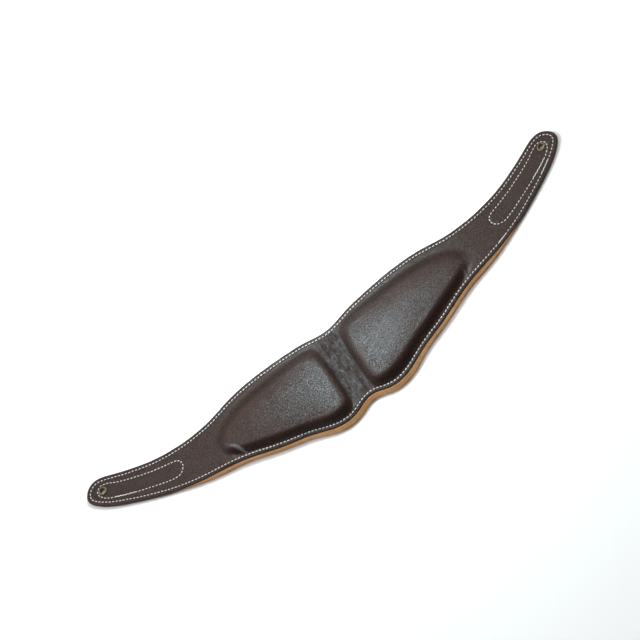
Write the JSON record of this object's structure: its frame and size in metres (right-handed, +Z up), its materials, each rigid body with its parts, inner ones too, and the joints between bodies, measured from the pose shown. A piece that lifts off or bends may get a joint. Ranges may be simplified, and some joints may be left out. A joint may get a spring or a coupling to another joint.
{
  "type": "saxophone strap neck pad",
  "caption": "Padded leather neck pad of a saxophone strap: curved two-layer pad with raised cushions, centre fold, slim flexing arms and a metal eyelet at each tip.",
  "frame": {"origin": "centre of the footprint on the flat back face, pad lying cushions up", "axes": "+X along the long axis, +Y towards the neck edge between the raised arm tips, +Z up through the cushions"},
  "size_m": [0.4396, 0.0945, 0.0135],
  "materials": {
    "front_leather": "smooth semi-gloss dark brown leather",
    "back_leather": "matte tan leather",
    "foam": "open foam, hidden inside",
    "stiffener": "woven non-stretch reinforcement, hidden inside",
    "eyelet_metal": "antique brass",
    "thread": "off-white waxed thread"
  },
  "bodies": {
    "left_arm": {"front_cover_left_arm": "front_leather", "back_cover_left_arm": "back_leather", "base_foam_left_arm": "foam", "edge_stitching_left_arm": "thread", "stiffener_left": "stiffener", "eyelet_left": "eyelet_metal", "eyelet_washer_left": "eyelet_metal", "tongue_stitching_left": "thread"},
    "left_pad": {"front_cover_left_pad": "front_leather", "back_cover_left_pad": "back_leather", "base_foam_left_pad": "foam", "edge_stitching_left_pad": "thread", "cushion_left": "foam"},
    "right_arm": {"front_cover_right_arm": "front_leather", "back_cover_right_arm": "back_leather", "base_foam_right_arm": "foam", "edge_stitching_right_arm": "thread", "stiffener_right": "stiffener", "eyelet_right": "eyelet_metal", "eyelet_washer_right": "eyelet_metal", "tongue_stitching_right": "thread"},
    "right_pad": {"front_cover_right_pad": "front_leather", "back_cover_right_pad": "back_leather", "base_foam_right_pad": "foam", "edge_stitching_right_pad": "thread", "cushion_right": "foam"}
  },
  "joints": [
    {"name": "centre_fold", "type": "hinge", "parent": "left_pad", "child": "right_pad", "pos_m": [0, 0, 0.00515], "axis": [0, -1, 0], "range_deg": [-30, 80]},
    {"name": "left_arm_flex", "type": "hinge", "parent": "left_pad", "child": "left_arm", "pos_m": [-0.131, 0, 0.00285], "axis": [0, 1, 0], "range_deg": [-45, 45]},
    {"name": "right_arm_flex", "type": "hinge", "parent": "right_pad", "child": "right_arm", "pos_m": [0.131, 0, 0.00285], "axis": [0, -1, 0], "range_deg": [-45, 45]}
  ]
}
